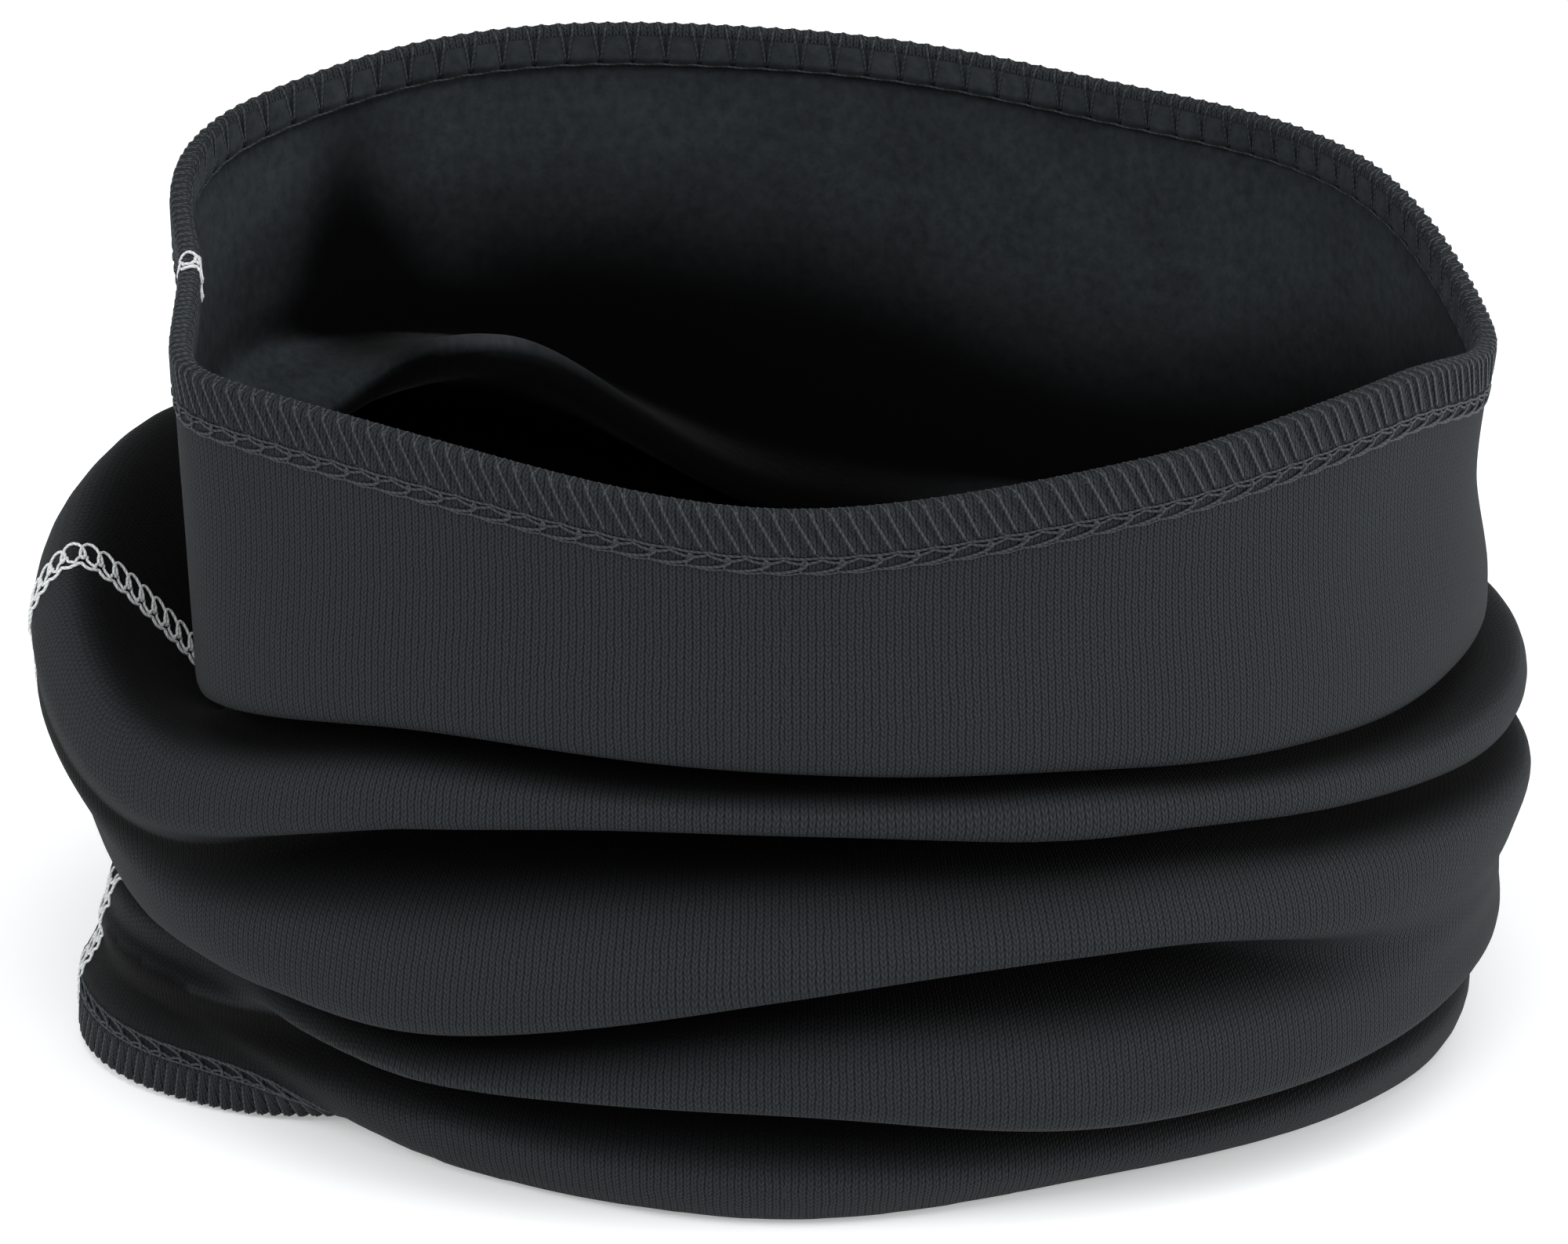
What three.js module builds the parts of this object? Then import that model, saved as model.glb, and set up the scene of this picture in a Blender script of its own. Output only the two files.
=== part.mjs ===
// Neck gaiter: a brushed-back knit tube, standing in slouched folds. Millimetres, +Z up, front towards -Y.
// The object's own frame has its origin at the middle of the footprint, on the floor.
import * as THREE from "three";

// Driving dimensions
const HALF_WIDTH = 100; // the tube's plan, left to right
const HALF_DEPTH = 60; // the tube's plan, front to back
const CLOTH = 1.2; // thickness of the brushed knit
const HEM = 6.5; // how far the cloth is turned to the inside at each end
const CHAIN = 2.4; // width of the chain row sewn below each hem
const SEAM_WIDTH = 4.4; // width of the flat seam that closes the tube
const THREAD = 0.35; // thickness of a laid thread
const THREAD_WIDTH = 0.6;
const CLEAR = 0.35; // clearance between separate pieces of cloth
const THREAD_CLEAR = 0.7; // clearance between a laid thread and the cloth it crosses
const FOLD_GAP = Array(12).fill(1.5); // half the space between the two layers at a fold's root
const SEAM_TURN = 270; // where the seam stands, in degrees round the tube from the front
const COLUMNS = 48; // columns round the tube
const PRESSED_START = 78; // the collar's left end is pressed flat from here to the next distance
const PRESSED_END = [88, 90, 90, 90, 90, 90, 90, 90, 93, 87.5, 87, 87.5]; // every 30 degrees round the tube

// The folds, from the rim down. Every 30 degrees from the front (0), by the right (90) and the back (180),
// `out` is how far the cloth stands outside the plan's ellipse and `up` is its height. `root` is a fold's
// inner end, made of two layers that stand `gap` above and below it; `collar` lines belong to the pressed
// collar; `rows` is the number of rows to the next line.
const FOLDS = [
  { line: "rim", collar: true,
    out: [2, 2, 2, 4, 0, 2, 2, 6, 10.5, 0, 4, 2],
    up: [117, 121, 124, 119, 133, 136, 142, 142, 132.5, 128.5, 128, 124] },
  { line: "collar wall", collar: true,
    out: [2, 2, 2, 2.5, 0.5, 2, 2, 5, 6, -1, 3, 2],
    up: [98, 99, 100, 98, 105, 104, 108, 120, 117, 105, 104, 102] },
  { line: "collar swell", collar: true,
    out: [4.5, 4.5, 4.5, 5, 4, 4, 4, 4, 4, -7, 3, 4],
    up: [85, 82, 79, 79, 78, 72, 77, 102, 103, 84, 82, 87] },
  { line: "collar edge", collar: true,
    out: [3.5, 3.5, 3.5, 4, 4, 4, 4, 3, 1, -14, 1, 3],
    up: [78, 75, 72, 72, 72, 66, 70, 92, 95, 70, 74, 80] },
  { line: "first root", root: true, collar: true,
    out: [-9, -9, -9, -8, -7, -7, -8, -24, -16, -19, -9, -9],
    up: [76.5, 73.5, 69.5, 70, 70, 63, 66, 101, 89, 61, 69, 77.5],
    gap: [1.5, 1.5, 1.5, 1.5, 1.5, 1.5, 1.5, 1.5, 1.8, 4.5, 1.8, 1.5], rows: 4 },
  { line: "second roll",
    out: [4.5, 4.5, 7, 10.5, 11, 9, 8, 10, 8, 5.5, 6, 4.5],
    up: [71.5, 69, 65.5, 66, 67.5, 60.5, 62, 80, 89, 81, 67, 72.5] },
  { line: "second roll edge",
    out: [4.5, 4.5, 7, 11.5, 12.5, 10, 9, 11, 15, 12.3, 9, 6],
    up: [68.5, 65, 60.5, 60, 62, 56.5, 57.5, 74, 78, 73, 57, 66] },
  { line: "second root", root: true,
    out: [-22, -18, -10, 0, 0, -12, -16, -12, 3, 11.5, 5, -14],
    up: [65, 61.5, 57, 54, 56.5, 53, 54, 69, 64, 64, 50, 61.5] },
  { line: "third roll",
    out: [0, 2, 9, 12.5, 12, 9, 7, 8, 12, 8, 6, 4],
    up: [56, 56, 52, 50, 53, 48.5, 50, 59, 54, 54, 43, 49] },
  { line: "third roll edge",
    out: [8, 8, 10, 11, 11, 9, 8, 7, 8, -1, 2.5, 8],
    up: [44.5, 48, 42, 43, 46.5, 42, 43, 49, 40, 31, 33, 33] },
  { line: "third root", root: true,
    out: [-16, -8, 8, 8.5, 8, -8, -14, -16, -16, -16, -18, -18],
    up: [42, 42, 35, 37, 40.5, 38, 39, 44, 36, 30, 33, 33] },
  { line: "fourth roll",
    out: [2, 5, 8, 9, 9, 7, 6, 4, 3, 2, -7, 1],
    up: [34, 31, 28, 31, 34, 32.5, 33, 34, 29.5, 26.5, 26, 27.5] },
  { line: "fourth roll edge",
    out: [6, 6, 7, 9, 9, 7, 7, 5, 4, 3.5, -5.5, 5],
    up: [23.5, 18, 19, 23, 26, 25, 25, 25.5, 24, 22.5, 22, 24] },
  { line: "fourth root", root: true,
    out: [-10, -10, -5.5, -2, -3, -8, -8, -8, -1, 4.5, -4.5, -14],
    up: [20.5, 15, 15, 19, 20, 20.5, 21, 20, 17, 19, 18, 20] },
  { line: "bottom layer",
    out: [1, -3, 1.5, 6, 5.5, 4, 4, 2, 4.5, 5.5, -3.7, -3.5],
    up: [9.5, 7, 9, 10, 10, 10, 10, 9, 11.5, 15.5, 14.2, 11] },
  { line: "resting strip, outer",
    out: [-3, -8, -4.5, 1.5, 0.5, -1.5, -1.5, -2.5, 4, 6.8, -3.5, -8.5],
    up: [0.45, 0.45, 0.45, 0.45, 0.45, 0.45, 0.45, 0.45, 8, 13.2, 12.2, 1.2] },
  { line: "resting strip, inner",
    out: [-6, -11, -7.5, -1.5, -2.5, -4.5, -4.5, -5.5, 2.5, 8.2, -3, -11.5],
    up: [0.45, 0.45, 0.45, 0.45, 0.45, 0.45, 0.45, 0.45, 5.5, 10.8, 9.6, 1.3] },
  { line: "bottom edge",
    out: [-18, -22, -19, -13, -13, -16, -17, -20, -7.5, 8.5, -5, -27],
    up: [8, 8, 8, 8, 8, 8, 8, 6, 1.2, 1.6, 0.8, 3.2] },
];

// A value that goes smoothly round the tube through keys set at equal turns.
function around(keys, turn) {
  const n = keys.length;
  const at = (((turn % 360) + 360) % 360) * (n / 360);
  const i = Math.floor(at);
  const f = at - i;
  const [a, b, c, d] = [-1, 0, 1, 2].map((k) => keys[(i + k + n) % n]);
  return 0.5 * (2 * b + (c - a) * f + (2 * a - 5 * b + 4 * c - d) * f * f + (3 * b - a - 3 * c + d) * f ** 3);
}

// The collar's left end is pressed flat: past the first distance, x only creeps up to the second.
function pressed(x, turn) {
  const soft = around(PRESSED_END, turn) - PRESSED_START;
  return x < -PRESSED_START ? -PRESSED_START - soft * Math.tanh((-PRESSED_START - x) / soft) : x;
}

// The points of the fold lines at one turn, from the rim down.
function foldPoints(turn) {
  const angle = THREE.MathUtils.degToRad(turn);
  const normal = new THREE.Vector2(Math.sin(angle) / HALF_WIDTH, -Math.cos(angle) / HALF_DEPTH).normalize();
  return FOLDS.flatMap(({ out, up, root, collar, gap = FOLD_GAP }) => {
    const away = around(out, turn);
    const x = HALF_WIDTH * Math.sin(angle) + away * normal.x;
    const y = -HALF_DEPTH * Math.cos(angle) + away * normal.y;
    const z = around(up, turn);
    const half = around(gap, turn);
    const heights = root ? [z + half, z - half] : [z];
    return heights.map((h) => new THREE.Vector3(collar ? pressed(x, turn) : x, y, h));
  });
}

// One column of the cloth's middle surface: a fine line from rim to bottom edge, with its lengths.
function clothColumn(turn) {
  const knots = foldPoints(turn);
  const curve = new THREE.CatmullRomCurve3(knots, false, "centripetal");
  const steps = 6;
  const points = curve.getPoints((knots.length - 1) * steps);
  const lengths = [0];
  for (let i = 1; i < points.length; i++) lengths.push(lengths[i - 1] + points[i].distanceTo(points[i - 1]));
  return { points, lengths, knotLengths: knots.map((_, k) => lengths[k * steps]), total: lengths.at(-1) };
}

const columnCache = new Map();
function column(turn) {
  const key = Math.round(((turn % 360) + 360) * 1000) % 360000;
  if (!columnCache.has(key)) columnCache.set(key, clothColumn(turn));
  return columnCache.get(key);
}

// The middle surface's point at a length down the cloth.
function middle(turn, length) {
  const { points, lengths } = column(turn);
  let i = 1;
  while (i < lengths.length - 1 && lengths[i] < length) i++;
  const f = (length - lengths[i - 1]) / (lengths[i] - lengths[i - 1]);
  return points[i - 1].clone().lerp(points[i], f);
}

// The number of rows from each fold line's knot to the next one.
const ROWS = FOLDS.flatMap(({ root, rows = 2 }) => (root ? [2, rows] : [rows]));

// The lengths of the panel's rows between the two hems: each knot and the rows that follow it, with three
// in the last stretch, where the cloth turns under.
function panelLengths(turn) {
  const { knotLengths, total } = column(turn);
  const [, ...inside] = knotLengths.slice(0, -1);
  const end = total - HEM - CLEAR;
  const last = inside.at(-1);
  const part = (from, to, rows) => Array.from({ length: rows }, (_, i) => from + ((to - from) * i) / rows);
  const folds = inside.slice(0, -1).flatMap((length, k) => part(length, inside[k + 1], ROWS[k + 1]));
  return [HEM + CLEAR, ...folds, ...part(last, end, 3), end];
}

// A point on the cloth and its outward normal. `rowAt(turn)` gives the length, so that the slope round
// the tube follows the same row in the neighbouring columns.
function frameAt(turn, rowAt, step = 360 / COLUMNS) {
  const length = rowAt(turn);
  const { total } = column(turn);
  const down = middle(turn, Math.min(length + 0.8, total)).sub(middle(turn, Math.max(length - 0.8, 0)));
  const along = middle(turn + step / 2, rowAt(turn + step / 2)).sub(middle(turn - step / 2, rowAt(turn - step / 2)));
  const normal = new THREE.Vector3().crossVectors(down, along).normalize();
  return { point: middle(turn, length), normal, along: along.normalize() };
}

// The point that stands `away` outside the middle surface and `side` along the row; never under the floor.
function standing({ point, normal, along }, away, side = 0) {
  const p = point.clone().addScaledVector(normal, away).addScaledVector(along, side);
  p.z = Math.max(p.z, 0);
  return p;
}

// A solid swept round the tube: each turn has a closed section with the same number of points.
function ringSolid(sections) {
  const n = sections[0].length;
  const index = [];
  sections.forEach((_, i) => {
    const next = (i + 1) % sections.length;
    for (let j = 0; j < n; j++) {
      const k = (j + 1) % n;
      index.push(i * n + j, i * n + k, next * n + k, i * n + j, next * n + k, next * n + j);
    }
  });
  return geometryOf(sections.flat(), index);
}

// A solid swept along a line, closed by a flat face at each end.
function barSolid(sections) {
  const n = sections[0].length;
  const last = (sections.length - 1) * n;
  const index = [];
  for (let i = 0; i < sections.length - 1; i++) {
    for (let j = 0; j < n; j++) {
      const k = (j + 1) % n;
      index.push(i * n + j, i * n + k, i * n + n + k, i * n + j, i * n + n + k, i * n + n + j);
    }
  }
  for (let j = 1; j < n - 1; j++) index.push(0, j + 1, j, last, last + j, last + j + 1);
  return geometryOf(sections.flat(), index);
}

function geometryOf(points, index) {
  const geometry = new THREE.BufferGeometry().setFromPoints(points);
  geometry.setIndex(index);
  geometry.computeVertexNormals();
  return geometry;
}

const TURNS = Array.from({ length: COLUMNS }, (_, i) => (i * 360) / COLUMNS);

// The single layer of cloth between the hems, with all its folds.
function knitPanel() {
  const rows = panelLengths(0).length;
  const sections = TURNS.map((turn) => {
    const frames = Array.from({ length: rows }, (_, j) => frameAt(turn, (t) => panelLengths(t)[j]));
    const outer = frames.map((f) => standing(f, CLOTH / 2));
    const inner = frames.map((f) => standing(f, -CLOTH / 2)).reverse();
    return [...outer, ...inner];
  });
  return ringSolid(sections);
}

// The end of the cloth turned once to the inside: two legs joined by a rounded edge.
// `place(turn, s)` is the length down the cloth of a point that lies s from the finished edge.
function turnedHem(place, upwards) {
  const outside = CLOTH / 2;
  const inside = -CLOTH / 2;
  const secondOut = inside - CLEAR;
  const secondIn = secondOut - CLOTH;
  const centre = (outside + secondIn) / 2;
  const legs = [HEM, HEM * 0.55];
  const loop = [
    ...[...legs, 1].map((s) => [s, outside]),
    [0.25, outside - 0.5],
    [0, centre],
    [0.25, secondIn + 0.5],
    ...[...legs, 1].map((s) => [s, secondIn]).reverse(),
    ...[...legs, 0.95].map((s) => [s, secondOut]),
    ...[...legs, 0.95].map((s) => [s, inside]).reverse(),
  ];
  const ordered = upwards ? [...loop].reverse() : loop;
  return ringSolid(
    TURNS.map((turn) => ordered.map(([s, away]) => standing(frameAt(turn, (t) => place(t, s)), away))),
  );
}

// A thread laid round a hem. It swings between two distances from the edge, once every two columns.
function ringThread(place, near, far, away, upwards) {
  const half = THREAD_WIDTH / 2;
  return ringSolid(
    TURNS.map((turn, i) => {
      const s = i % 2 ? near : far;
      const corners = [
        [s - half, away + THREAD],
        [s + half, away + THREAD],
        [s + half, away],
        [s - half, away],
      ];
      const ordered = upwards ? corners : corners.reverse();
      return ordered.map(([d, h]) => standing(frameAt(turn, (t) => place(t, d)), h));
    }),
  );
}

// The point beside the seam on one row of the panel, held at the panel's own slope to the next column.
function besideSeam(row, side, away) {
  const step = 360 / COLUMNS;
  const [here, next] = [SEAM_TURN, SEAM_TURN + Math.sign(side) * step].map((turn) =>
    standing(frameAt(turn, (t) => panelLengths(t)[row]), away),
  );
  return side === 0 ? here : here.lerp(next, Math.abs(side) / here.distanceTo(next));
}

// A thread laid down the seam. It swings between two distances beside the seam's line, row by row.
function seamThread(near, far) {
  const half = THREAD_WIDTH / 2;
  const low = CLOTH / 2 + THREAD_CLEAR;
  const margin = HEM + CHAIN + 2;
  const { total } = column(SEAM_TURN);
  const rows = panelLengths(SEAM_TURN)
    .map((length, row) => ({ length, row }))
    .filter(({ length }) => length > margin && length < total - margin);
  return barSolid(
    rows.map(({ row }) => {
      const side = row % 2 ? near : far;
      return [
        besideSeam(row, side - half, low),
        besideSeam(row, side + half, low),
        besideSeam(row, side + half, low + THREAD),
        besideSeam(row, side - half, low + THREAD),
      ];
    }),
  );
}

function piece(name, geometry, color, roughness) {
  const mesh = new THREE.Mesh(geometry, new THREE.MeshStandardMaterial({ color, roughness }));
  mesh.name = name;
  return mesh;
}

const CLOTH_GREY = 0x26292b;
const HEM_GREY = 0x34383a;
const SEAM_GREY = 0xb9bdbd;
const OUTSIDE = CLOTH / 2 + THREAD_CLEAR;
const INSIDE = -(CLOTH * 1.5 + CLEAR + THREAD_CLEAR + THREAD);

// The four threads of one hem: slanted cover threads outside, pairs of threads inside, the needle line at
// the hem's foot, and the chain row sewn just past it.
function hemThreads(end, place, upwards) {
  const foot = HEM - THREAD_WIDTH / 2;
  const cover = [1.2, foot - THREAD_WIDTH - CLEAR];
  const chain = [HEM + 1, HEM + 1 + CHAIN - THREAD_WIDTH];
  const laid = (near, far, away) => ringThread(place, near, far, away, upwards);
  return [
    piece(`${end}_hem_upper_looper_thread`, laid(...cover, OUTSIDE), HEM_GREY, 0.8),
    piece(`${end}_hem_needle_thread`, laid(foot, foot, OUTSIDE), HEM_GREY, 0.8),
    piece(`${end}_hem_chain_thread`, laid(...chain, OUTSIDE), HEM_GREY, 0.8),
    piece(`${end}_hem_lower_looper_thread`, laid(1.8, foot - THREAD_WIDTH, INSIDE), HEM_GREY, 0.8),
  ];
}

const fromTop = (turn, s) => s;
const fromBottom = (turn, s) => column(turn).total - s;

const gaiter = new THREE.Group();
gaiter.name = "neck_gaiter";
gaiter.add(
  piece("knit_panel", knitPanel(), CLOTH_GREY, 0.95),
  piece("top_hem", turnedHem(fromTop, true), CLOTH_GREY, 0.95),
  piece("bottom_hem", turnedHem(fromBottom, false), CLOTH_GREY, 0.95),
  piece("seam_needle_thread", seamThread(0, 0), SEAM_GREY, 0.7),
  piece("seam_upper_looper_thread", seamThread(SEAM_WIDTH * 0.34, SEAM_WIDTH / 2), SEAM_GREY, 0.7),
  piece("seam_lower_looper_thread", seamThread(-SEAM_WIDTH * 0.34, -SEAM_WIDTH / 2), SEAM_GREY, 0.7),
  ...hemThreads("top", fromTop, true),
  ...hemThreads("bottom", fromBottom, false),
);

// The origin goes to the middle of the footprint, on the floor.
const box = new THREE.Box3().setFromObject(gaiter);
const centre = box.getCenter(new THREE.Vector3());
gaiter.position.set(-centre.x, -centre.y, -box.min.z);

export default gaiter;
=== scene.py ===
"""A neck gaiter: a tube of brushed-back jersey that stands in slouched folds, with its hems and its seam.

The cloth's middle surface is worked out once, in millimetres, from the heights and stand-offs of its fold
lines. Every piece is then laid on that surface: the panel, the turned hems and the sewing threads.
"""

import logging
import math
from dataclasses import dataclass, field
from enum import Enum

import bpy
import numpy as np
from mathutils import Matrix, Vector

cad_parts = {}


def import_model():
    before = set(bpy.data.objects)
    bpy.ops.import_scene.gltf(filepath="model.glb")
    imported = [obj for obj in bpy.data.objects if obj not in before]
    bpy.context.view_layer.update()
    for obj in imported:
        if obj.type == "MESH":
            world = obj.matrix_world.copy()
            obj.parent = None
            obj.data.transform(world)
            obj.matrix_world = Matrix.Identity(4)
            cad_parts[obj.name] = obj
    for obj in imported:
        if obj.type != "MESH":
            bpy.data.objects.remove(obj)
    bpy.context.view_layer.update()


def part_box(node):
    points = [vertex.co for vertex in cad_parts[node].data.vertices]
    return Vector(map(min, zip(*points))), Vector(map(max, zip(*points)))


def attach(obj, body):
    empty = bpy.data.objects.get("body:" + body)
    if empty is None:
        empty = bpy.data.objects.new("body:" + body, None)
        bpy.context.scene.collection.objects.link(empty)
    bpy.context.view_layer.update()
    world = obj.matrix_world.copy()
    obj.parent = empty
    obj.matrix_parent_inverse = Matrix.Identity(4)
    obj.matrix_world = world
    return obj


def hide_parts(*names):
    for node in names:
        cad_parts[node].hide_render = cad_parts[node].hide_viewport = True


LOG = logging.getLogger("neck_gaiter")
MM = 0.001
FULL_TURN = 360.0

Keys = tuple[float, ...]
Grid = np.ndarray


# ---------------------------------------------------------------------------------------------------------
# The shape of the cloth
# ---------------------------------------------------------------------------------------------------------


@dataclass(frozen=True)
class FoldLine:
    """A line that runs round the tube, given every 30 degrees from the front (0) by the right (90).

    Args:
        name: what the line is.
        out: how far the cloth stands outside the plan's ellipse, in mm.
        up: its height, in mm.
        root: True for a fold's inner end, where two layers stand `gap` above and below the line.
        collar: True where the pressed left end of the collar holds the line in.
        gap: half the space between the two layers of a root, in mm.
    """

    name: str
    out: Keys
    up: Keys
    root: bool = False
    collar: bool = False
    gap: Keys = (1.5,) * 12


FOLDS = (
    FoldLine(
        "rim",
        (2, 2, 2, 4, 0, 2, 2, 6, 10.5, 0, 4, 2),
        (117, 121, 124, 119, 133, 136, 142, 142, 132.5, 128.5, 128, 124),
        collar=True,
    ),
    FoldLine(
        "collar wall",
        (2, 2, 2, 2.5, 0.5, 2, 2, 5, 6, -1, 3, 2),
        (98, 99, 100, 98, 105, 104, 108, 120, 117, 105, 104, 102),
        collar=True,
    ),
    FoldLine(
        "collar swell",
        (4.5, 4.5, 4.5, 5, 4, 4, 4, 4, 4, -7, 3, 4),
        (85, 82, 79, 79, 78, 72, 77, 102, 103, 84, 82, 87),
        collar=True,
    ),
    FoldLine(
        "collar edge",
        (3.5, 3.5, 3.5, 4, 4, 4, 4, 3, 1, -14, 1, 3),
        (78, 75, 72, 72, 72, 66, 70, 92, 95, 70, 74, 80),
        collar=True,
    ),
    FoldLine(
        "first root",
        (-9, -9, -9, -8, -7, -7, -8, -24, -16, -19, -9, -9),
        (76.5, 73.5, 69.5, 70, 70, 63, 66, 101, 89, 61, 69, 77.5),
        root=True,
        collar=True,
        gap=(1.5, 1.5, 1.5, 1.5, 1.5, 1.5, 1.5, 1.5, 1.8, 4.5, 1.8, 1.5),
    ),
    FoldLine(
        "second roll",
        (4.5, 4.5, 7, 10.5, 11, 9, 8, 10, 8, 5.5, 6, 4.5),
        (71.5, 69, 65.5, 66, 67.5, 60.5, 62, 80, 89, 81, 67, 72.5),
    ),
    FoldLine(
        "second roll edge",
        (4.5, 4.5, 7, 11.5, 12.5, 10, 9, 11, 15, 12.3, 9, 6),
        (68.5, 65, 60.5, 60, 62, 56.5, 57.5, 74, 78, 73, 57, 66),
    ),
    FoldLine(
        "second root",
        (-22, -18, -10, 0, 0, -12, -16, -12, 3, 11.5, 5, -14),
        (65, 61.5, 57, 54, 56.5, 53, 54, 69, 64, 64, 50, 61.5),
        root=True,
    ),
    FoldLine(
        "third roll",
        (0, 2, 9, 12.5, 12, 9, 7, 8, 12, 8, 6, 4),
        (56, 56, 52, 50, 53, 48.5, 50, 59, 54, 54, 43, 49),
    ),
    FoldLine(
        "third roll edge",
        (8, 8, 10, 11, 11, 9, 8, 7, 8, -1, 2.5, 8),
        (44.5, 48, 42, 43, 46.5, 42, 43, 49, 40, 31, 33, 33),
    ),
    FoldLine(
        "third root",
        (-16, -8, 8, 8.5, 8, -8, -14, -16, -16, -16, -18, -18),
        (42, 42, 35, 37, 40.5, 38, 39, 44, 36, 30, 33, 33),
        root=True,
    ),
    FoldLine(
        "fourth roll",
        (2, 5, 8, 9, 9, 7, 6, 4, 3, 2, -7, 1),
        (34, 31, 28, 31, 34, 32.5, 33, 34, 29.5, 26.5, 26, 27.5),
    ),
    FoldLine(
        "fourth roll edge",
        (6, 6, 7, 9, 9, 7, 7, 5, 4, 3.5, -5.5, 5),
        (23.5, 18, 19, 23, 26, 25, 25, 25.5, 24, 22.5, 22, 24),
    ),
    FoldLine(
        "fourth root",
        (-10, -10, -5.5, -2, -3, -8, -8, -8, -1, 4.5, -4.5, -14),
        (20.5, 15, 15, 19, 20, 20.5, 21, 20, 17, 19, 18, 20),
        root=True,
    ),
    FoldLine(
        "bottom layer",
        (1, -3, 1.5, 6, 5.5, 4, 4, 2, 4.5, 5.5, -3.7, -3.5),
        (9.5, 7, 9, 10, 10, 10, 10, 9, 11.5, 15.5, 14.2, 11),
    ),
    FoldLine(
        "resting strip, outer",
        (-3, -8, -4.5, 1.5, 0.5, -1.5, -1.5, -2.5, 4, 6.8, -3.5, -8.5),
        (0.45, 0.45, 0.45, 0.45, 0.45, 0.45, 0.45, 0.45, 8, 13.2, 12.2, 1.2),
    ),
    FoldLine(
        "resting strip, inner",
        (-6, -11, -7.5, -1.5, -2.5, -4.5, -4.5, -5.5, 2.5, 8.2, -3, -11.5),
        (0.45, 0.45, 0.45, 0.45, 0.45, 0.45, 0.45, 0.45, 5.5, 10.8, 9.6, 1.3),
    ),
    FoldLine(
        "bottom edge",
        (-18, -22, -19, -13, -13, -16, -17, -20, -7.5, 8.5, -5, -27),
        (8, 8, 8, 8, 8, 8, 8, 6, 1.2, 1.6, 0.8, 3.2),
    ),
)


@dataclass(frozen=True)
class Ripple:
    """A soft standing wave of the cloth.

    Args:
        waves: waves round the tube.
        rows: waves down the cloth, for each 100 mm.
        height: half its height, in mm.
        phase: where it starts, in turns.
    """

    waves: int
    rows: float
    height: float
    phase: float


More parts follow.
